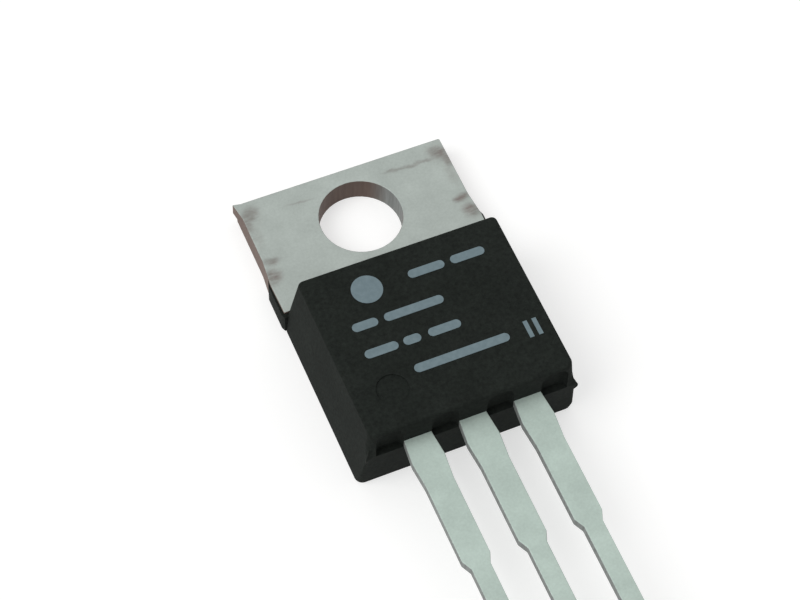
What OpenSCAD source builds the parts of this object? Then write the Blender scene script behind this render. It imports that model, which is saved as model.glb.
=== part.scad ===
// Three-lead voltage regulator in a moulded package with a heat-sink tab.
// It lies on its back. The origin is the centre of the mounting hole on the tab's back face,
// +Y runs to the tab's free end, the leads run to -Y, and +Z leaves the marked front face.

/* [Heat-sink tab] */
// Width of the tab at its free end
tab_w = 10.1; // [9.9:0.02:10.14]
// Thickness of the tab and of the pad behind the chip
tab_t = 1.27; // [1.14:0.01:1.4]
// From the centre of the mounting hole to the tab's free end
hole_to_end = 2.67; // [2.5:0.01:2.9]
// Diameter of the mounting hole
hole_d = 3.84; // [3.6:0.02:3.94]
// Radius of the two stamped outer corners
tab_corner_r = 0.08; // [0.04:0.02:0.4]
// How far each side swells where the mould clamps the tab
tab_swell = 0.04; // [0.02:0.01:0.05]
// How far the joint to the strip, sheared at one corner, stands out
joint_out = 0.16; // [0.1:0.02:0.2]
// Length of that sheared joint along the tab's side
joint_l = 0.8; // [0.6:0.05:1]
// Height of its underside above the tab's back face
joint_z = 0.6; // [0.4:0.05:0.8]

/* [Die pad] */
// Width of the pad on the chip's side
pad_w = 8.6; // [8:0.1:9]
// How far the pad's lower layer stands back all round, for the epoxy to grip
pad_lock = 0.4; // [0.2:0.05:0.6]
// Height of that lower layer
lock_h = 0.45; // [0.3:0.05:0.6]
// From the mounting hole's centre to the end of the pad
hole_to_pad_end = 10; // [9.7:0.05:10.2]
// Width of the two coined grooves across the pad
groove_w = 0.5; // [0.3:0.05:0.6]
// Depth of the coined grooves
groove_depth = 0.2; // [0.1:0.05:0.3]
// Distance between the coined grooves
groove_pitch = 0.75; // [0.7:0.05:0.8]

/* [Moulding] */
// Width of the moulding at its back
body_w = 10.26; // [10.16:0.02:10.4]
// Height of the front face above the tab's back face
body_t = 4.24; // [4.2:0.01:4.6]
// From the mounting hole's centre to the head edge of the front face
hole_to_head = 3.96; // [3.9:0.01:4.2]
// From the mounting hole's centre to the foot, where the leads leave
hole_to_foot = 12.26; // [12:0.02:12.5]
// How far the epoxy's back stands in from the tab's back face
back_inset = 0.05; // [0.02:0.01:0.1]
// Draft of the long sides, in degrees
side_draft = 6; // [5:0.1:7]
// Draft of the head end, in degrees
head_draft = 10; // [8:0.5:11]
// Draft of the foot in front of the leads, in degrees
foot_front_draft = 2.4; // [1:0.2:4]
// Draft of the foot behind the leads, in degrees
foot_back_draft = 5.5; // [3:0.5:7]
// Radius of the upright corners at the front face
front_corner_r = 0.24; // [0.2:0.02:0.5]
// Radius of the upright corners at the back
back_corner_r = 0.36; // [0.3:0.02:0.6]
// Radius of the edge round the front face
front_edge_r = 0.12; // [0.05:0.01:0.2]
// Radius of the foot's upright corners in front of the leads
foot_corner_r = 0.38; // [0.2:0.02:0.44]
// Radius of the foot's upright corners behind the leads
sole_corner_r = 0.15; // [0.09:0.02:0.35]
// How far the nib left on the parting line stands out at each foot corner
nib_out = 0.07; // [0.04:0.01:0.16]
// Height over which each nib runs out, up and down
nib_h = 0.7; // [0.4:0.05:0.8]

/* [Relief pockets in the foot] */
// Width of each pocket, between the leads
pocket_w = 1.25; // [1.1:0.05:1.3]
// Depth of each pocket
pocket_depth = 0.32; // [0.2:0.02:0.5]
// Epoxy left between a pocket's arch and the front face
pocket_roof = 0.14; // [0.12:0.01:0.4]
// Radius of the arch's shoulders
pocket_arch_r = 0.5; // [0.3:0.05:0.54]
// Radius of the pocket's two inner corners
pocket_corner_r = 0.28; // [0.1:0.02:0.3]

/* [Ears beside the tab] */
// How far an ear stands out past the moulding's back width
ear_out = 0.12; // [0.08:0.01:0.2]
// From the hole's centre to where an ear starts
hole_to_ear = 1.3; // [1.1:0.1:1.6]
// Length of the slope at an ear's start
ear_slope = 0.6; // [0.3:0.1:0.8]
// How far an ear reaches in under the tab's sides and the moulding
ear_in = 0.5; // [0.4:0.05:0.6]
// How far an ear's top stays below the tab's front face
ear_drop = 0.12; // [0.05:0.01:0.3]
// Length of the ear's root past the shoulder of the tab
ear_root = 0.2; // [0.15:0.01:0.3]

/* [Ejector mark] */
// Diameter of the shallow round mark on the front face
ejector_d = 1.44; // [1:0.02:1.6]
// Depth of the mark
ejector_depth = 0.06; // [0.03:0.01:0.1]
// Place of the mark across the face
ejector_x = -2.92; // [-3.2:0.02:-2.8]
// From the foot to the centre of the mark
foot_to_ejector = 1.9; // [1.7:0.02:2]

/* [Leads] */
// Distance between neighbouring leads
lead_pitch = 2.54; // [2.5:0.01:2.6]
// Height of the leads' undersides above the tab's back face
lead_z = 2.6; // [2.4:0.02:2.7]
// Thickness of the lead strip
lead_t = 0.46; // [0.4:0.01:0.5]
// Width of the upper part of a lead
lead_w = 1.27; // [1.15:0.01:1.3]
// Width of the thin end of a lead
lead_tip_w = 0.86; // [0.72:0.01:0.95]
// How far the thin end is sheared off centre
tip_shift = 0.02; // [0.01:0.01:0.05]
// Length of a lead outside the moulding
lead_l = 13.84; // [13:0.02:14.4]
// Width across the sheared tie-bar stubs
stub_w = 1.48; // [1.4:0.01:1.55]
// From the foot to the widest point of the stubs
foot_to_stub = 1.12; // [0.9:0.02:1.3]
// Length over which the stubs run out
stub_runout = 1.2; // [0.8:0.1:1.6]
// From the foot to the shoulder
foot_to_shoulder = 6; // [5.6:0.1:6.4]
// Length of the sloping shoulder
shoulder_l = 0.45; // [0.3:0.05:0.6]

/* [Bond posts] */
// Width of the post at the end of an outer lead
post_w = 2.5; // [2.1:0.05:2.6]
// Length of the post
post_l = 1.15; // [1:0.05:1.25]
// From the foot to the post's wide part
foot_to_post = 1.1; // [1:0.05:1.2]
// From the part's centre line to the post's inner edge
post_x = 1.4; // [1.2:0.05:1.5]
// Radius of the locking notches in a lead's neck
notch_r = 0.2; // [0.1:0.02:0.25]
// Slope of the joggle in the middle lead, in degrees
joggle_angle = 60; // [55:1:70]

/* [Chip and bond wires] */
// Width of the chip
die_w = 2.7; // [2.4:0.1:3]
// Length of the chip
die_l = 3.1; // [2.8:0.1:3.3]
// Thickness of the chip
die_t = 0.3; // [0.2:0.02:0.4]
// From the hole's centre to the chip's centre
hole_to_die = 7.3; // [7.1:0.05:7.4]
// Thickness of the solder under the chip
solder_t = 0.05; // [0.03:0.01:0.08]
// How far the solder spreads past the chip
solder_spread = 0.12; // [0.05:0.01:0.2]
// Diameter of the power bond wires
power_wire_d = 0.3; // [0.2:0.01:0.32]
// Diameter of the ground bond wire
ground_wire_d = 0.16; // [0.1:0.01:0.2]
// Height of each bond wire's arc over its chord
wire_rise = 0.7; // [0.6:0.05:0.8]
// Distance between the two power wires of a pair
wire_gap = 0.8; // [0.7:0.05:0.9]
// From the chip's edges to the feet of the wires on it
wire_inset = 0.4; // [0.35:0.05:0.5]
// From the chip's edge to the feet of the wires on the pad beside it
wire_reach = 1.6; // [1.4:0.1:1.8]

/* [Ink marks] */
// Thickness of the ink
ink_t = 0.02; // [0.01:0.01:0.03]
// Height of the printed dashes
dash_h = 0.42; // [0.3:0.02:0.5]
// Diameter of the printed disc
disc_d = 1.4; // [1:0.1:1.5]
// Centre of the disc across the face
disc_x = -2.03; // [-2.4:0.01:-1.8]
// Distance from the head edge to the first printed row
head_to_print = 1.46; // [1.3:0.01:1.5]
// From the first printed row to the second
row_gap = 1.62; // [1.4:0.02:1.8]
// Distance between the other printed rows
row_pitch = 1.4; // [1.3:0.02:1.45]
// Dashes of each printed row, each from one place across the face to another
row_1 = [[-0.1, 1.6], [1.9, 3.5]];
row_2 = [[-3.38, -2.2], [-1.9, 0.85]];
row_3 = [[-3.38, -1.85], [-1.6, -0.8], [-0.45, 1.05]];
row_4 = [[-1.7, 2.7]];
// Centres of the two small upright dashes across the face
tick_x = [3.6, 4.02];
// Width and length of each upright dash
tick = [0.2, 0.85];

/* [Hidden] */
$fn = 32;
overcut = 1;             // how far a cutting tool runs past what it cuts
edge_steps = 3;          // levels in the rounded edge of the front face
corner_steps = 5;        // flats round each upright corner of the moulding
sole_edge_h = 0.45;      // height at which the foot's corners have sharpened above the back
nib_root = 0.4;          // how far a nib reaches along the foot and the side from the corner
nib_nose = 0.1;          // half the height of a nib's blunt nose
nib_sink = 0.02;         // how far a nib's far points lie inside the moulding's skin

epoxy_black = [0.14, 0.15, 0.145];
tin_grey = [0.68, 0.71, 0.69];
solder_grey = [0.55, 0.56, 0.58];
die_blue = [0.28, 0.3, 0.36];
wire_silver = [0.85, 0.85, 0.86];
ink_blue = [0.56, 0.64, 0.69];

foot_y = -hole_to_foot;
tip_y = foot_y - lead_l;
seal = 0.05;             // how deep the tab's shoulder lies inside the head end
lap = 0.1;               // how far two forms of one solid run into each other
foot_t = 0.66;           // height of a bond wire's pressed foot, in wire diameters
foot_w = 1.4;            // width of that foot, in wire diameters
shoulder_y = (body_t - tab_t) * tan(head_draft) - hole_to_head - seal;   // where the tab narrows to the pad
pad_end_y = -hole_to_pad_end;
die_y = -hole_to_die;
die_top = tab_t + solder_t + die_t;
lead_top = lead_z + lead_t;
post_y = foot_y + foot_to_post;

// Half width of the moulding at height z.
function half_width(z) = body_w / 2 - z * tan(side_draft);
// Y of the head end at height z. Below the tab's front face it runs straight down.
function head_at(z) = -hole_to_head + (body_t - max(z, tab_t)) * tan(head_draft);
// Y of the foot at height z. It is farthest out at the leads' undersides, where the mould parts.
function foot_at(z) = foot_y + (z > lead_z ? (z - lead_z) * tan(foot_front_draft)
                                           : (lead_z - z) * tan(foot_back_draft));
// Radius of the upright corners at height z.
function corner_r(z) = back_corner_r + (front_corner_r - back_corner_r) * z / body_t;

// One level of the moulding's skin: its corners, anticlockwise, each an arc. The two at the foot
// have radius foot_r, and all shrink with inset, which draws the whole outline in.
function ring(z, foot_r, inset = 0) =
    let (x = half_width(z) - inset, head = head_at(z) - inset, foot = foot_at(z) + inset,
         hr = corner_r(z) - inset, fr = foot_r - inset)
    [for (c = [[x - hr, head - hr, 0, hr], [hr - x, head - hr, 90, hr],
               [fr - x, foot + fr, 180, fr], [x - fr, foot + fr, 270, fr]])
        for (i = [0 : corner_steps])
            let (a = c[2] + 90 * i / corner_steps)
            [c[0] + c[3] * cos(a), c[1] + c[3] * sin(a), z]];

// The levels from back to front: the drafted walls up to the parting line, where the mould's halves
// have corners of their own, the walls in front of it, and the rounded edge of the front face.
function skin_levels() = concat(
    [ring(back_inset, back_corner_r)],
    [for (z = [sole_edge_h, tab_t, lead_z]) ring(z, sole_corner_r)],
    [ring(lead_z + nib_h, foot_corner_r)],
    [for (i = [0 : edge_steps])
        let (a = 90 * i / edge_steps, z = body_t - front_edge_r * (1 - sin(a)))
        ring(z, foot_corner_r, front_edge_r * (1 - cos(a)))]);

// Nib of epoxy squeezed out at one foot corner, where the mould parts: a blunt upright nose, running
// out to a point in the rounded corner above the parting line and to another below it.
module nib() {
    x = half_width(lead_z);
    y = foot_at(lead_z);
    function run_out(z, r) = let (d = r * (1 - cos(45)) + nib_sink)
        [half_width(z) - d, foot_at(z) + d, z];
    polyhedron([[x + nib_out, y - nib_out, lead_z + nib_nose],
                [x + nib_out, y - nib_out, lead_z - nib_nose],
                [x - nib_sink, y + nib_root, lead_z], [x - nib_root, y + nib_root, lead_z],
                [x - nib_root, y + nib_sink, lead_z],
                run_out(lead_z + nib_h, foot_corner_r), run_out(lead_z - nib_h, sole_corner_r)],
               [[2, 0, 5], [0, 4, 5], [2, 1, 0], [0, 1, 4], [1, 2, 6], [4, 1, 6],
                [3, 2, 5], [4, 3, 5], [2, 3, 6], [3, 4, 6]]);
}

// The block that the levels enclose.
module moulded_block() {
    levels = skin_levels();
    n = len(levels[0]);
    top = (len(levels) - 1) * n;
    sides = [for (k = [0 : len(levels) - 2])
                for (i = [0 : n - 1])
                    let (a = k * n + i, b = k * n + (i + 1) % n)
                    each [[a, a + n, b], [b, a + n, b + n]]];
    polyhedron([for (level = levels) each level],
               concat([[for (i = [0 : n - 1]) i]], sides, [[for (i = [n - 1 : -1 : 0]) top + i]]));
}

// Ear of epoxy along one side of the tab, rooted in the moulding past the tab's shoulder.
module ear() {
    x = body_w / 2;
    translate([0, 0, back_inset])
        linear_extrude(tab_t - ear_drop - back_inset)
            polygon([[x - ear_in, -hole_to_ear], [tab_w / 2, -hole_to_ear],
                     [x + ear_out, -hole_to_ear - ear_slope],
                     [x + ear_out, shoulder_y], [x + ear_out / 3, shoulder_y - ear_root],
                     [x - ear_in, shoulder_y - ear_root]]);
}

// A box with two rounded corners at its far end, drawn flat from y = 0 to y = l.
module round_ended(w, l, r) {
    translate([-w / 2, -overcut]) square([w, l - r + overcut]);
    translate([r - w / 2, l - 2 * r]) square([w - 2 * r, 2 * r]);
    for (s = [-1, 1])
        translate([s * (w / 2 - r), l - r]) circle(r);
}

// One relief pocket: an arch seen from the foot, with rounded inner corners seen from the front.
module pocket() {
    intersection() {
        translate([0, foot_y + pocket_depth, lead_z])
            rotate([90, 0, 0])
                linear_extrude(pocket_depth + overcut)
                    intersection() {
                        round_ended(pocket_w, body_t - pocket_roof - lead_z, pocket_arch_r);
                        translate([-pocket_w, 0]) square([2 * pocket_w, body_t]);
                    }
        translate([0, foot_y, 0])
            linear_extrude(body_t)
                round_ended(pocket_w, pocket_depth, pocket_corner_r);
    }
}

// The flat outline of the tab down to its shoulder, with two rounded outer corners.
module tab_outline() {
    x = tab_w / 2;
    r = tab_corner_r;
    swell_y = -hole_to_ear / 2;
    polygon([[r - x, hole_to_end], [x - r, hole_to_end], [x, hole_to_end - r], [x, swell_y],
             [body_w / 2 + tab_swell, -hole_to_ear - ear_slope], [body_w / 2, shoulder_y],
             [-body_w / 2, shoulder_y], [-body_w / 2 - tab_swell, -hole_to_ear - ear_slope],
             [-x, swell_y], [-x, hole_to_end - r]]);
    for (s = [-1, 1])
        translate([s * (x - r), hole_to_end - r]) circle(r);
}

// What shearing left of the joint to the strip, at one corner of the tab.
module sheared_joint() {
    x = tab_w / 2;
    polygon([[-x, hole_to_end - joint_l], [lap - x, hole_to_end - joint_l],
             [2 * lap - x, hole_to_end], [-x - joint_out, hole_to_end + joint_out / 2]]);
}

// The flat outline of a lead outside the moulding, reaching back to y_start inside it.
module lead_outline(y_start) {
    stub_y = foot_y - foot_to_stub;
    shoulder = foot_y - foot_to_shoulder;
    // One edge from inside the moulding to the tip; side is 1 on the right and -1 on the left.
    function edge(side) =
        let (w = side * lead_w / 2, tip = side * lead_tip_w / 2 + tip_shift)
        [[w, y_start], [w, foot_y], [side * stub_w / 2, stub_y], [w, stub_y - stub_runout],
         [w, shoulder], [tip, shoulder - shoulder_l], [tip, tip_y]];
    right = edge(1);
    left = edge(-1);
    polygon(concat(left, [for (i = [len(right) - 1 : -1 : 0]) right[i]]));
}

// The middle lead's path seen from the side: out of the pad's front layer, up the joggle, level.
module joggle_profile() {
    low = tab_t - lead_t;
    run = (lead_z - low) / tan(joggle_angle);
    shift = lead_t * tan(joggle_angle / 2);
    y0 = pad_end_y - shift;
    polygon([[pad_end_y + lap, low], [y0, low], [y0 - run, lead_z], [foot_y, lead_z],
             [foot_y, lead_top], [y0 - run + shift, lead_top], [y0 + shift, tab_t],
             [pad_end_y + lap, tab_t]]);
}

// Trough of a coined groove across the pad.
module groove(y) {
    translate([0, y, tab_t])
        rotate([90, 0, 90])
            translate([0, 0, -body_w / 2])
                linear_extrude(body_w)
                    polygon([[-groove_w / 2, 0], [0, -groove_depth], [groove_w / 2, 0],
                             [groove_w / 2, overcut], [-groove_w / 2, overcut]]);
}

// Outer lead with its bond post; side is 1 on the right and -1 on the left.
module outer_lead(side) {
    neck_y = (foot_y + post_y) / 2;
    difference() {
        union() {
            translate([side * lead_pitch, 0, lead_z])
                linear_extrude(lead_t) lead_outline(post_y + notch_r);
            translate([side * (post_x + post_w / 2) - post_w / 2, post_y, lead_z])
                cube([post_w, post_l, lead_t]);
        }
        for (s = [-1, 1])
            translate([side * lead_pitch + s * lead_w / 2, neck_y, lead_z - overcut])
                cylinder(r = notch_r, h = lead_t + 2 * overcut);
    }
}

// Flattened foot of a bond wire, pressed on a face at p and turned to the wire's heading.
module bond_foot(p, heading, d) {
    translate(p)
        rotate([0, 0, heading])
            translate([-d, -foot_w * d / 2, 0])
                cube([2 * d, foot_w * d, foot_t * d]);
}

// Bond wire: an arc over the chord between two feet, in the upright plane through them.
module bond_wire(from, to, d) {
    lift = [0, 0, foot_t * d];
    span = to - from;
    heading = atan2(span.y, span.x);
    climb = atan2(span.z, norm([span.x, span.y]));
    radius = (span * span / 4 + wire_rise * wire_rise) / (2 * wire_rise);
    half = asin(norm(span) / 2 / radius);
    translate((from + to) / 2 + lift)
        rotate([0, 0, heading])
            rotate([90, 0, 0])
                rotate([0, 0, climb])
                    translate([0, wire_rise - radius, 0])
                        rotate([0, 0, 90 - half])
                            rotate_extrude(angle = 2 * half)
                                translate([radius, 0]) circle(d = d);
    bond_foot(from, heading, d);
    bond_foot(to, heading, d);
}

// Printed dash with round ends, from span[0] to span[1], in a row centred on y.
module dash(span, y) {
    r = dash_h / 2;
    translate([span[0] + r, y - r]) square([span[1] - span[0] - dash_h, dash_h]);
    for (x = [span[0] + r, span[1] - r])
        translate([x, y]) circle(r);
}

module heat_sink_header() {
    color(tin_grey)
        difference() {
            union() {
                linear_extrude(tab_t) tab_outline();
                translate([0, 0, joint_z])
                    linear_extrude(tab_t - joint_z) sheared_joint();
                translate([-pad_w / 2, pad_end_y, lock_h])
                    cube([pad_w, shoulder_y - pad_end_y + lap, tab_t - lock_h]);
                translate([pad_lock - pad_w / 2, pad_end_y + pad_lock, 0])
                    cube([pad_w - 2 * pad_lock, shoulder_y - pad_end_y - pad_lock + lap, lock_h]);
                translate([-lead_w / 2, 0, 0])
                    rotate([90, 0, 90])
                        linear_extrude(lead_w) joggle_profile();
                translate([0, 0, lead_z])
                    linear_extrude(lead_t) lead_outline(foot_y + lap);
            }
            translate([0, 0, -overcut])
                cylinder(d = hole_d, h = tab_t + 2 * overcut);
            for (i = [1, 2])
                groove(shoulder_y - i * groove_pitch);
        }
}

module input_lead() {
    color(tin_grey) outer_lead(1);
}

module ground_lead() {
    color(tin_grey) outer_lead(-1);
}

module die_solder() {
    w = die_w + 2 * solder_spread;
    l = die_l + 2 * solder_spread;
    color(solder_grey)
        translate([-w / 2, die_y - l / 2, tab_t])
            cube([w, l, solder_t]);
}

module silicon_die() {
    color(die_blue)
        translate([-die_w / 2, die_y - die_l / 2, tab_t + solder_t])
            cube([die_w, die_l, die_t]);
}

// Power wire i of the pair from the chip to the input lead's post.
module input_wire(i) {
    color(wire_silver)
        bond_wire([die_w / 2 - wire_inset - (1 - i) * wire_gap, die_y - (1 - i) * wire_gap / 2, die_top],
                  [post_x + post_w / 2 + (i - 0.5) * wire_gap, post_y + post_l / 2, lead_top],
                  power_wire_d);
}

// Power wire i of the pair from the chip down to the pad beside it.
module output_wire(i) {
    y = die_y + wire_inset + i * wire_gap;
    color(wire_silver)
        bond_wire([-die_w / 4, y, die_top], [-die_w / 2 - wire_reach, y, tab_t], power_wire_d);
}

module input_wire_1() { input_wire(0); }
module input_wire_2() { input_wire(1); }
module output_wire_1() { output_wire(0); }
module output_wire_2() { output_wire(1); }

module ground_wire() {
    color(wire_silver)
        bond_wire([wire_inset - die_w / 2, die_y - die_l / 2 + wire_inset, die_top],
                  [-lead_pitch, post_y + post_l / 2, lead_top], ground_wire_d);
}

module ink_marks() {
    first = -hole_to_head - head_to_print;
    rows = [row_2, row_3, row_4];
    last = first - row_gap - (len(rows) - 1) * row_pitch;
    color(ink_blue)
        translate([0, 0, body_t])
            linear_extrude(ink_t) {
                translate([disc_x, first]) circle(d = disc_d);
                for (span = row_1)
                    dash(span, first);
                for (i = [0 : len(rows) - 1])
                    for (span = rows[i])
                        dash(span, first - row_gap - i * row_pitch);
                for (x = tick_x)
                    translate([x - tick[0] / 2, last - tick[1] / 2]) square(tick);
            }
}

module moulded_body() {
    color(epoxy_black)
        difference() {
            union() {
                moulded_block();
                ear();
                mirror([1, 0, 0]) ear();
                nib();
                mirror([1, 0, 0]) nib();
            }
            for (i = [-1.5, -0.5, 0.5, 1.5])
                translate([i * lead_pitch, 0, 0]) pocket();
            translate([ejector_x, foot_y + foot_to_ejector, body_t - ejector_depth])
                cylinder(d = ejector_d, h = overcut);
            heat_sink_header();
            input_lead();
            ground_lead();
            silicon_die();
            die_solder();
            input_wire_1();
            input_wire_2();
            output_wire_1();
            output_wire_2();
            ground_wire();
        }
}

moulded_body();
heat_sink_header();
ground_lead();
input_lead();
silicon_die();
die_solder();
ground_wire();
input_wire_1();
input_wire_2();
output_wire_1();
output_wire_2();
ink_marks();
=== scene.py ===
# %% [markdown]
# # A three-lead regulator in a tab package
# The real piece is a power chip soldered to a thick stamped plate. The plate's free end is a tab with
# a screw hole, which carries the heat away. Epoxy is moulded round the other end, and three flat
# leads leave it at the foot. The solids come ready made from the frame, in metres: X runs across,
# +Y points to the tab's end, and Z stands on the face that the part lies on.
# This lesson dresses them. It rounds the edges that a press and a mould leave, and gives each piece
# the finish of its real material. Then it lays the part on a pale table in soft light.

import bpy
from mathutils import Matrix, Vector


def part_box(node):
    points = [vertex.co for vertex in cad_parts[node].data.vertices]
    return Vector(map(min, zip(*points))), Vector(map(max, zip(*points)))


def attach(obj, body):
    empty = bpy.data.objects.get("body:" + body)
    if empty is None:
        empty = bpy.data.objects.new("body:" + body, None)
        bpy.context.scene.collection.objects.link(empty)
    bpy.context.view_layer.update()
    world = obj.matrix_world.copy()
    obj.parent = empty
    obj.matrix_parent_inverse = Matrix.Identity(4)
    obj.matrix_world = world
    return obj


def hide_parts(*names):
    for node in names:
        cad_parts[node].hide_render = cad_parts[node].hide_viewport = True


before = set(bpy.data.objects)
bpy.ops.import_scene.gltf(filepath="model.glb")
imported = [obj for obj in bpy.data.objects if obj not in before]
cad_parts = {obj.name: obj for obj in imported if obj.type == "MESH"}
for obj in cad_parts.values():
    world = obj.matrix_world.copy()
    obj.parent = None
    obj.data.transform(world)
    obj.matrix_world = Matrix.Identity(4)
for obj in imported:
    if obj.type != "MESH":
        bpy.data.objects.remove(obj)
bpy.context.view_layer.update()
print("nodes in the frame:", ", ".join(sorted(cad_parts)))

# %% [markdown]
# ## Units and colours
# A part like this is measured in millimetres, and its colours are read off a card as sRGB hex values.
# Blender counts in metres, and it adds up light, for which sRGB values are bent the wrong way. Both
# could be worked out beforehand and typed in, but then nobody could check them against the real
# part. So millimetres and hex values stay in the text, and one value and one function turn them.

# %% The tools of this lesson
import math

import bmesh
import bpy
import numpy as np
from mathutils import Matrix, Vector

MM = 0.001
scene = bpy.context.scene
scene.view_settings.view_transform = "Standard"


def linear(colour):
    """The linear red, green, blue and alpha of an sRGB hex colour. Below 0.04045 a channel is divided
    by 12.92; above, it is ((channel + 0.055) / 1.055) to the power 2.4."""
    channels = [int(colour[i : i + 2], 16) / 255 for i in (1, 3, 5)]
    bent = [c / 12.92 if c <= 0.04045 else ((c + 0.055) / 1.055) ** 2.4 for c in channels]
    return (*bent, 1.0)


print("mid grey #808080 is", round(linear("#808080")[0], 3), "of full light")

# %% [markdown]
# ## The camera
# A lens of about 100 mm stands 104 mm from the screw hole, to the left of the part, past its leads
# and well above them. A long lens keeps the leads nearly parallel, as a close-up of a small part does.
# Three turning angles could place it, but they are hard to read. Here it looks from its eye at a
# point inside the housing. Then it is rolled a little about its own line of sight, because a camera
# that is held by hand is never quite level.

# %% Place the camera
lens = bpy.data.cameras.new("close_up_lens")
lens.sensor_width = 36.0
lens.lens = 101.56
lens.clip_start = 1 * MM
lens.clip_end = 5.0
camera = bpy.data.objects.new("camera", lens)
scene.collection.objects.link(camera)
eye = Vector((-23.27, -52.21, 86.68)) * MM
aim = Vector((-0.31, -5.20, 2.00)) * MM
roll = Matrix.Rotation(math.radians(3.44), 3, "Z")
level = (eye - aim).to_track_quat("Z", "Y").to_matrix()
camera.matrix_world = Matrix.LocRotScale(eye, level @ roll, None)
scene.camera = camera
print("camera", round(eye.length / MM), "mm from the screw hole")

# %% [markdown]
# ## Nodes
# A material is a small net of nodes. Each node has settings, sockets that take a value, and sockets
# that are fed by another node. One helper covers them all: it adds a node, writes its settings, and
# for each socket either writes the value or draws the link. A second starts a material, with every
# pattern laid on the object's own millimetres, so that a scale in the net is a size on the part.


# %% A helper that adds one node
def put(tree, kind, sockets=None, **settings):
    """Adds one node to the tree. settings are the node's own; sockets maps a socket's name or number
    to a value, or to another node's output, which is linked to it."""
    node = tree.nodes.new("ShaderNode" + kind)
    for name, value in settings.items():
        setattr(node, name, value)
    for name, value in (sockets or {}).items():
        if isinstance(value, bpy.types.NodeSocket):
            tree.links.new(value, node.inputs[name])
        else:
            node.inputs[name].default_value = value
    return node


def blank(name):
    """A new material with an empty net, and the object's own coordinates turned to millimetres."""
    material = bpy.data.materials.new(name)
    material.use_nodes = True
    tree = material.node_tree
    tree.nodes.clear()
    place = put(tree, "TexCoord").outputs["Object"]
    in_mm = put(tree, "VectorMath", {0: place, "Scale": 1 / MM}, operation="SCALE")
    return material, tree, in_mm.outputs["Vector"]


print("helpers: put adds a node, blank starts a material in millimetres")

# %% [markdown]
# ## Rounding what a tool has made
# No stamped or moulded edge is truly sharp, and the thin bright line that a real edge shows is what
# makes metal look like metal. Every edge could be rounded in the solid, but that takes many more
# faces and shows only close up, so it is done here. A CAD skin is loose triangles: a copy is made
# first, its points are joined, and flat neighbours are melted into whole faces. Then a Bevel modifier
# can follow the real edges, as it takes only those that turn by more than a given angle.


# %% A copy with its edges rounded
def dress(node, name, radius):
    """Copies a solid's skin, joins points closer than 0.1 micron and melts faces that lie flat to each
    other. Edges that turn more than 35 degrees stay crisp, or are rounded to radius mm where there is
    one, and gentler ones are shaded smooth. The copy stands for the node."""
    crisp = math.radians(35)
    flat = math.radians(0.3)
    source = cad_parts[node].data
    points = np.empty(len(source.vertices) * 3, np.float32)
    source.vertices.foreach_get("co", points)
    corners = np.empty(len(source.loops), np.int32)
    source.loops.foreach_get("vertex_index", corners)
    mesh = bpy.data.meshes.new(name)
    mesh.from_pydata(points.reshape(-1, 3), [], corners.reshape(-1, 3).tolist())
    work = bmesh.new()
    work.from_mesh(mesh)
    bmesh.ops.remove_doubles(work, verts=work.verts, dist=1e-7)
    bmesh.ops.dissolve_limit(work, angle_limit=flat, verts=work.verts, edges=work.edges)
    open_edges = sum(len(e.link_faces) != 2 for e in work.edges)
    work.to_mesh(mesh)
    work.free()
    mesh.shade_smooth()
    mesh.set_sharp_from_angle(angle=crisp)
    piece = bpy.data.objects.new(name, mesh)
    scene.collection.objects.link(piece)
    if radius:
        bevel = piece.modifiers.new("tool_radius", "BEVEL")
        bevel.width = radius * MM
        bevel.segments = 2
        bevel.limit_method = "ANGLE"
        bevel.angle_limit = crisp
        bevel.use_clamp_overlap = False
        bevel.miter_outer = "MITER_ARC"
        bevel.harden_normals = True
    else:
        weigh = piece.modifiers.new("flat_faces_lead", "WEIGHTED_NORMAL")
        weigh.keep_sharp = True
    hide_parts(node)
    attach(piece, "root")
    print(name, "has", len(mesh.polygons), "faces and", open_edges, "open edges")
    return piece


# the thicker the copper, the wider the edge that its punch leaves; the housing's solid has its own
header = dress("heat_sink_header", "stamped_header", 0.04)
left_lead = dress("ground_lead", "left_lead", 0.03)
right_lead = dress("input_lead", "right_lead", 0.03)
housing = dress("moulded_body", "moulded_housing", 0)

# %% [markdown]
# ## Clouds
# No real finish has one even tone. Plate grows thicker in one place, filler drifts in the epoxy, and
# a rubber pad lifts unevenly. A scan of each would show that, but it would need an image, and an
# image repeats. One cloud noise serves them all: small for grain, wide for blotches, and drawn out
# along an axis where a tool has combed the surface.


# %% A cloud mask
def noise(tree, mm, scale, low=0.0, high=1.0, detail=3.0, sharp=0.5):
    """Cloud noise with scale waves to the mm, or a scale for each axis, stretched so that the middle
    of its range, 0.3 to 0.7, runs from low to high."""
    stretch = scale if isinstance(scale, tuple) else (scale,) * 3
    laid = put(tree, "Mapping", {"Vector": mm, "Scale": stretch}).outputs["Vector"]
    wave = put(tree, "TexNoise", {"Vector": laid, "Scale": 1.0, "Detail": detail, "Roughness": sharp})
    return put(tree, "MapRange", {"Value": wave.outputs["Fac"], "From Min": 0.3, "From Max": 0.7,
                                  "To Min": low, "To Max": high}).outputs["Result"]


print("a noise of 10 waves to the mm has clouds", 1 / 10, "mm wide")

# %% [markdown]
# ## Masks that follow the shape
# Where a finish changes, a mask says how much of the second one shows: 0 for none, 1 for all. It
# could be painted by hand, but then it wouldn't follow a piece whose size changes. Three kinds that
# are worked out are enough here: an oval placed and turned on the plan, the walls that a punch or a
# saw left, and everything past a line across the part.


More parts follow.
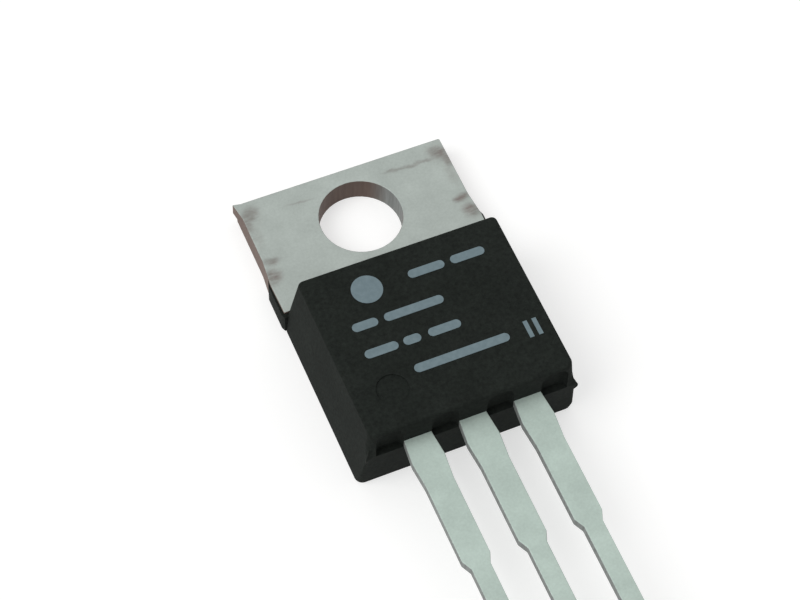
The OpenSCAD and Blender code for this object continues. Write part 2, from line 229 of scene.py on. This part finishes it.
# %% Oval, walls, and past a line
def oval(tree, mm, x, y, along, across, turn, core=0.15):
    """1 inside the core share of an oval and 0 at its rim, by a smooth step. x, y and the half lengths
    along and across are in mm, and turn is the angle in degrees from X to the long half. The oval is
    a metre deep, so only the place on the plan counts."""
    own = put(tree, "Mapping", {"Vector": mm, "Location": (x, y, 0),
                                "Rotation": (0, 0, math.radians(turn)),
                                "Scale": (along, across, 1000)}, vector_type="TEXTURE")
    radius = put(tree, "VectorMath", {0: own.outputs["Vector"]}, operation="LENGTH").outputs["Value"]
    return put(tree, "MapRange", {"Value": radius, "From Min": 1.0, "From Max": core},
               interpolation_type="SMOOTHSTEP").outputs["Result"]


def walls(tree):
    """1 on walls that stand upright, 0 on faces that lie flat. The normal's upright share, 1 on a flat
    face and 0 on a wall, gives 0 from 0.85 up and 1 from 0.45 down."""
    normal = put(tree, "TexCoord").outputs["Normal"]
    rise = put(tree, "SeparateXYZ", {0: normal}).outputs["Z"]
    rise = put(tree, "Math", {0: rise}, operation="ABSOLUTE").outputs[0]
    return put(tree, "MapRange", {"Value": rise, "From Min": 0.85, "From Max": 0.45}).outputs["Result"]


def past(tree, mm, start, end):
    """0 up to Y = start mm and 1 from Y = end mm on, rising evenly between them."""
    along = put(tree, "SeparateXYZ", {0: mm}).outputs["Y"]
    return put(tree, "MapRange", {"Value": along, "From Min": start, "From Max": end}).outputs["Result"]


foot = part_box("moulded_body")[0].y / MM
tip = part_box("ground_lead")[0].y / MM
print("lines to mask by: the housing's foot at", round(foot, 2), "mm and the leads' tips at", round(tip, 2))

# %% [markdown]
# ## Joining masks, colours and surfaces
# Masks are joined by sums, and a mask mixes two colours or shades one. Fine relief isn't cut into the
# mesh, where it would take millions of faces: a mask tilts the light on the surface instead, as a
# relief of a few microns does. A last small helper ends each net, and another coats a piece.


# %% Helpers that join
def combine(tree, one, other, how="MULTIPLY"):
    """Two masks multiplied, or joined by another sum, such as ADD or MAXIMUM."""
    return put(tree, "Math", {0: one, 1: other}, operation=how).outputs[0]


def blend(tree, share, one, other):
    """The colour one where share is 0 and the colour other where it is 1. A colour is a hex value or
    another node's output. Sockets 6 and 7 are the Mix node's pair for colours."""
    pair = [linear(tone) if isinstance(tone, str) else tone for tone in (one, other)]
    return put(tree, "Mix", {"Factor": share, 6: pair[0], 7: pair[1]}, data_type="RGBA").outputs[2]


def shaded(tree, tone, shade):
    """The colour tone made darker where the mask shade is under 1 and lighter where it is over 1."""
    return put(tree, "VectorMath", {0: tone, "Scale": shade}, operation="SCALE").outputs["Vector"]


def bumps(tree, shader, height, depth):
    """Lets a mask raise the surface by up to depth mm, at half strength."""
    bump = put(tree, "Bump", {"Height": height, "Strength": 0.5, "Distance": depth * MM})
    tree.links.new(bump.outputs["Normal"], shader.inputs["Normal"])


def close(tree, shader):
    """Ends a net: the shader becomes the surface."""
    put(tree, "OutputMaterial", {"Surface": shader.outputs[0]})


def coat(piece, material):
    """Gives a piece one finish all over."""
    piece.data.materials.append(material)
    print(material.name, "on", piece.name)


print("helpers: combine, blend and shaded join masks and colours; bumps, close and coat end a finish")

# %% [markdown]
# ## Rubs on the tab
# A finished regulator has been through test sockets, trays and tubes. They hold it by the sides of
# its tab, and leave grey-brown rubs in the corners and next to the epoxy, and a few faint scratches.
# Painting them in an image would need an image file. Here each rub is one turned oval, and a scratch
# is one thin oval or a row of them. Both sides of the tab get the same ovals, mirrored and a little
# fainter on the left. They are placed from the tab's edges, so they stay there when its size changes.
# The ovals' own coordinates are pushed about by noise first, which gives them torn outlines and makes
# the two sides differ.

# %% Where the rubs are
# how far the tab reaches to the side and to its free end, and where the epoxy's ears beside it begin
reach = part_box("heat_sink_header")[1].x / MM
tab_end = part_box("heat_sink_header")[1].y / MM
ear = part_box("moulded_body")[1].y / MM

# x and y from the hole's centre, half length and half width, in mm; turn in degrees; strength
rubs = []
for hand, force in ((1, 1.0), (-1, 0.9)):
    rubs += [
        # a stain in the corner, a slanting rub in it, and another along the side
        (hand * (reach - 0.4), tab_end - 0.9, 1.1, 1.1, 0, 0.2 * force),
        (hand * (reach - 0.5), tab_end - 0.8, 0.7, 0.5, -40 * hand, 0.6 * force),
        (hand * (reach - 0.2), tab_end - 1.4, 0.5, 0.3, 90, 0.5 * force),
        # a faint trail half-way down the side
        (hand * (reach - 0.4), (tab_end + ear) / 2, 0.9, 0.4, 90, 0.25 * force),
        # a mark that runs in from the side, and a rub where the ear begins
        (hand * (reach - 0.5), ear + 0.8, 0.6, 0.3, 5 * hand, 0.8 * force),
        (hand * (reach - 0.3), ear, 0.7, 0.6, -60 * hand, 0.8 * force),
    ]

# a scratch from beside the hole to the right corner, and a thinner one on the left of the hole
for share in (0.45, 0.6, 0.75):
    rubs.append((share * reach, tab_end - 1.0, 0.7, 0.18, -5, 0.45))
rubs.append((-0.45 * reach, tab_end - 1.0, 1.1, 0.1, -5, 0.35))
print(len(rubs), "rubs and scratches on a tab that reaches", round(reach, 2), "mm to the side")


# %% A mask for the rubs
def rubbed(tree, mm):
    """The rubs added up. Before the ovals are asked, noise pushes each point by 0.3 mm times its
    distance from middle grey, mostly under 0.07 mm. A second noise, drawn out across the tab, combs
    the rubs into feathery streaks."""
    push = put(tree, "TexNoise", {"Vector": mm, "Scale": 2.2, "Detail": 3.0}).outputs["Color"]
    push = put(tree, "VectorMath", {0: push, 1: (0.5, 0.5, 0.5)}, operation="SUBTRACT").outputs[0]
    push = put(tree, "VectorMath", {0: push, "Scale": 0.3}, operation="SCALE").outputs[0]
    torn = put(tree, "VectorMath", {0: mm, 1: push}).outputs["Vector"]
    worn = 0.0
    for x, y, along, across, turn, strength in rubs:
        rub = combine(tree, oval(tree, torn, x, y, along, across, turn), strength)
        worn = combine(tree, rub, worn, "ADD")
    streaks = noise(tree, mm, (1.6, 7.0, 1.0), 0.55, 1.20, detail=4.0, sharp=0.65)
    return combine(tree, worn, streaks)


print("the tab ends at", round(tab_end, 2), "mm and the ears begin at", round(ear, 2), "mm")

# %% [markdown]
# ## Tin over copper
# The header and the leads are punched from copper strip, moulded in, and then plated with matt tin so
# that solder wets them. Tin has a soft grey-white colour with a faint green cast. Its crystals are a
# few microns across, so it throws light about and shows no clear reflection. A pure metal shader
# would mirror the bare room and look polished, so the net mixes a metal's gloss with a matt body.
# A punch shears the walls in upright lines and leaves them duller. On the header's tab the walls are
# given a dark brown that is painted reflection and painted shade, with a painted lit stretch in the
# hole. The tips of the leads are cut after plating, so they show the bare copper.


# %% Matt tin
def matt_tin(name, lead, tab, worn=False):
    """Tin plate over punched copper. lead and tab are its colours below the housing and above it.
    Blotches 1.2 mm wide come from uneven plating, and a mottle of 0.1 mm from the rolled strip. The
    crystals, 5 microns on the real part, are drawn as a grain of 0.06 mm so that they show. Walls in
    the last 0.02 mm of a lead are its cut end. A worn piece has the rubs, and on its tab dark brown
    walls of painted reflection and painted shade, save for a painted lit stretch of the hole at the right."""
    material, tree, mm = blank(name)
    above = past(tree, mm, foot + 0.3, foot + 1.3)
    blotches = noise(tree, mm, 0.8, 0.93, 1.07)
    mottle = noise(tree, mm, 10.0, 0.95, 1.05)
    tone = blend(tree, above, lead, tab)
    tone = shaded(tree, shaded(tree, tone, blotches), mottle)
    shear_lines = noise(tree, mm, (7.0, 7.0, 0.6))
    wall_tone = blend(tree, shear_lines, "#7C7F7D", "#969A98")
    # a worn piece gets the rubs, and painted reflection and painted shade on its tab's walls
    if worn:
        rub_tone = blend(tree, noise(tree, mm, 1.2), "#6E5F5B", "#66655F")
        tone = blend(tree, rubbed(tree, mm), tone, rub_tone)
        # painted reflection and painted shade: a dark red-brown on the tab's walls for the dark
        # surroundings they mirror
        painted_dark_reflection = blend(tree, shear_lines, "#68574F", "#746259")
        # painted highlight: a stretch of the hole's wall at the right keeps the lighter wall colour where
        # light falls
        painted_lit_stretch = oval(tree, mm, 2.1, 0.3, 1.8, 1.8, 0, core=0.3)
        # only the tab, past the housing, gets the painted wall colours
        wall_tone = blend(tree, above, wall_tone, blend(tree, painted_lit_stretch, painted_dark_reflection, wall_tone))
    upright = walls(tree)
    cut_end = combine(tree, upright, past(tree, mm, tip + 0.08, tip + 0.02))
    tone = blend(tree, upright, tone, wall_tone)
    tone = blend(tree, cut_end, tone, "#B07A5C")
    gloss = put(tree, "MapRange", {"Value": upright, "To Min": 0.5, "To Max": 0.62}).outputs["Result"]
    shader = put(tree, "BsdfPrincipled", {"Base Color": tone, "Metallic": 0.4, "Roughness": gloss})
    crystals = noise(tree, mm, 16.0)
    bumps(tree, shader, crystals, 0.003)
    close(tree, shader)
    return material


coat(header, matt_tin("matt_tin_on_stamped_copper", "#ABBAB2", "#A3ABA6", worn=True))
lead_tin = matt_tin("matt_tin_on_copper_lead", "#ABBAB2", "#ABBAB2")
coat(left_lead, lead_tin)
coat(right_lead, lead_tin)

# %% [markdown]
# ## Moulded epoxy
# The housing is epoxy filled with ground silica and a little carbon black, pressed hot into a steel
# mould. The mould was spark-eroded, and its fine pits leave a matt, slightly grainy black. A plain
# dark plastic would shine where the light comes in low. Such a skin scatters even that light, so its
# gloss is weak and its roughness high. Grains of silica under the skin speckle it a little; they are
# drawn about three times their real size, and so are the pits.

# %% Epoxy moulding compound
epoxy, tree, mm = blank("silica_filled_epoxy_moulded")
drift = noise(tree, mm, 0.6)
silica = noise(tree, mm, 6.0, 0.55, 1.45, detail=4.0, sharp=0.7)
pits = noise(tree, mm, 14.0)
tone = shaded(tree, blend(tree, drift, "#191D1A", "#1F2320"), silica)
shader = put(tree, "BsdfPrincipled", {"Base Color": tone, "Roughness": 0.85, "Specular IOR Level": 0.12})
bumps(tree, shader, pits, 0.005)
close(tree, shader)
coat(housing, epoxy)

# %% [markdown]
# ## Ink
# The marks are stamped on with a soft rubber pad in a pale grey-blue epoxy ink, and baked. The layer
# is a hundredth of a millimetre or two thick and never quite even: it is thin where the pad lifted
# first, so the black below dims it. Ink could be a mask in the epoxy, but a printed layer is a piece
# of its own, with its own low edge. Its solids come from the frame, so only its finish is made here.

# %% Pad-printed ink
ink, tree, mm = blank("pad_printed_epoxy_ink")
cover = noise(tree, mm, 4.0)
pad_grain = noise(tree, mm, 9.0)
tone = blend(tree, cover, "#6B7C82", "#76878D")
shader = put(tree, "BsdfPrincipled", {"Base Color": tone, "Roughness": 0.8, "Specular IOR Level": 0.2})
bumps(tree, shader, pad_grain, 0.004)
close(tree, shader)
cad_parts["ink_marks"].data.materials[0] = ink
print(ink.name, "on ink_marks")

# %% [markdown]
# ## The chip
# The chip, its solder and its bond wires are sealed in the epoxy, but each has its own finish, for
# anyone who cuts the model open. The chip is polished silicon, and its top is a grid of cells under
# aluminium, as in a power transistor. The real cells are a few microns wide. An image of them would
# need its own map, so a brick pattern with its rows in line draws them, each an eighth of a
# millimetre long and half as wide, so that they can be told apart.

# %% Polished silicon
silicon, tree, mm = blank("silicon_under_aluminium_cells")
cells = put(tree, "TexBrick", {"Vector": mm, "Scale": 4.0, "Mortar Size": 0.03,
                               "Color1": linear("#A9ACB0"), "Color2": linear("#B9BBBE"),
                               "Mortar": linear("#4B4658")}, offset=0.0)
tone = blend(tree, walls(tree), cells.outputs["Color"], "#3C3D47")
shader = put(tree, "BsdfPrincipled", {"Base Color": tone, "Roughness": 0.28})
bumps(tree, shader, cells.outputs["Fac"], 0.002)
close(tree, shader)
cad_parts["silicon_die"].data.materials[0] = silicon
print(silicon.name, "on silicon_die")

# %% [markdown]
# ## The solder
# A thin sheet of soft solder holds the chip on the plate and leads its heat away. It froze in coarse
# grains of about 0.3 mm, a little paler and higher where they meet. Clouds have no such borders. A
# Voronoi pattern does: it gives each point its distance from the nearest of many scattered seeds.

# %% Soft solder
solder, tree, mm = blank("soft_solder_frozen_in_grains")
grains = put(tree, "TexVoronoi", {"Vector": mm, "Scale": 3.0}).outputs["Distance"]
tone = blend(tree, grains, "#85878A", "#9C9EA0")
shader = put(tree, "BsdfPrincipled", {"Base Color": tone, "Metallic": 0.8, "Roughness": 0.45})
bumps(tree, shader, grains, 0.01)
close(tree, shader)
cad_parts["die_solder"].data.materials[0] = solder
print(solder.name, "on die_solder")

# %% [markdown]
# ## The bond wires
# The wires are drawn aluminium, welded down at both ends by ultrasound. The lines that a drawing die
# leaves along a wire are thinner than a micron. A map laid along each wire could draw them, but nobody
# can see them one by one. What they give the eye is a soft gloss, so the shader's roughness stands
# for them, and a faint grain of 0.05 mm keeps the metal from looking like chrome.

# %% Drawn aluminium
wire, tree, mm = blank("drawn_aluminium_wire")
grain = noise(tree, mm, 22.0)
tone = blend(tree, grain, "#C3C4C6", "#D6D7D8")
shader = put(tree, "BsdfPrincipled", {"Base Color": tone, "Metallic": 0.9, "Roughness": 0.35})
bumps(tree, shader, grain, 0.002)
close(tree, shader)
wires = sorted(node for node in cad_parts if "_wire" in node)
for node in wires:
    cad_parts[node].data.materials[0] = wire
print(wire.name, "on", ", ".join(wires))

# %% [markdown]
# ## A pale table
# The part lies on a white laminate table. White laminate in full light would wash the part out from
# below. So Light Path tells a ray that looks at the table from a ray that only carries its light to
# the part. The first sees the laminate near full white, and its shadow still shows. The second meets
# plain light grey.


# %% Table
def seen(tree):
    """The highest of three tests: 1 for a ray that shows the stage itself, its mirror image or a view
    of it through glass, 0 for one that only lights."""
    path = put(tree, "LightPath").outputs
    shown = combine(tree, path["Is Camera Ray"], path["Is Glossy Ray"], "MAXIMUM")
    return combine(tree, shown, path["Is Transmission Ray"], "MAXIMUM")


# x and y each run from -half to half in two steps, and z is 0
half = 0.6
side = np.linspace(-half, half, 3)
across, along = np.meshgrid(side, side, indexing="ij")
points = np.stack([across, along, np.zeros_like(across)], axis=-1).reshape(-1, 3)
corner = np.arange(9).reshape(3, 3)
squares = np.stack([corner[:-1, :-1], corner[1:, :-1], corner[1:, 1:], corner[:-1, 1:]], axis=-1)
mesh = bpy.data.meshes.new("table")
mesh.from_pydata(points, [], squares.reshape(-1, 4).tolist())
table = bpy.data.objects.new("table", mesh)
scene.collection.objects.link(table)

laminate, tree, mm = blank("white_laminate_table")
matt = put(tree, "BsdfDiffuse", {"Color": linear("#C4C4C3")})
# the sky and the lamps bring the matt laminate to about half of full white; the glow adds the rest
glow = put(tree, "Emission", {"Color": (1, 1, 1, 1), "Strength": combine(tree, seen(tree), 0.56)})
both = put(tree, "AddShader", {0: matt.outputs[0], 1: glow.outputs[0]})
close(tree, both)
mesh.materials.append(laminate)
print("table", 2 * half, "m wide")

# %% [markdown]
# ## Soft light
# The sky works as the table does: it looks white, and lights the part with less. Two far, broad
# lights stand for a window on the left and a pale wall on the right. Near area lamps would light the
# table in a patch that fades. These are suns with a wide disc, so the whole table gets the same light
# and the part's shadow has a soft edge.

# %% World
world = bpy.data.worlds.new("studio")
scene.world = world
world.use_nodes = True
tree = world.node_tree
tree.nodes.clear()
# sockets 2 and 3 are the Mix node's pair for numbers: the sky as a light, and as it looks
strength = put(tree, "Mix", {0: seen(tree), 2: 0.42, 3: 1.0}, data_type="FLOAT").outputs[0]
sky = put(tree, "Background", {"Color": (1, 1, 1, 1), "Strength": strength})
put(tree, "OutputWorld", {"Surface": sky.outputs[0]})
print("the sky gives 0.42 of full light")


# %% Lamps
def window(name, spot, strength, spread):
    """A broad far light that comes from the direction of spot, spread over so many degrees of sky."""
    lamp = bpy.data.lights.new(name, "SUN")
    lamp.energy = strength
    lamp.angle = math.radians(spread)
    holder = bpy.data.objects.new(name, lamp)
    holder.rotation_euler = Vector(spot).to_track_quat("Z", "Y").to_euler()
    scene.collection.objects.link(holder)
    print(name, "with strength", strength)


window("window_left", (-0.62, -0.05, 0.77), 1.45, 40)
window("fill_right", (0.30, 0.10, 0.95), 0.40, 60)
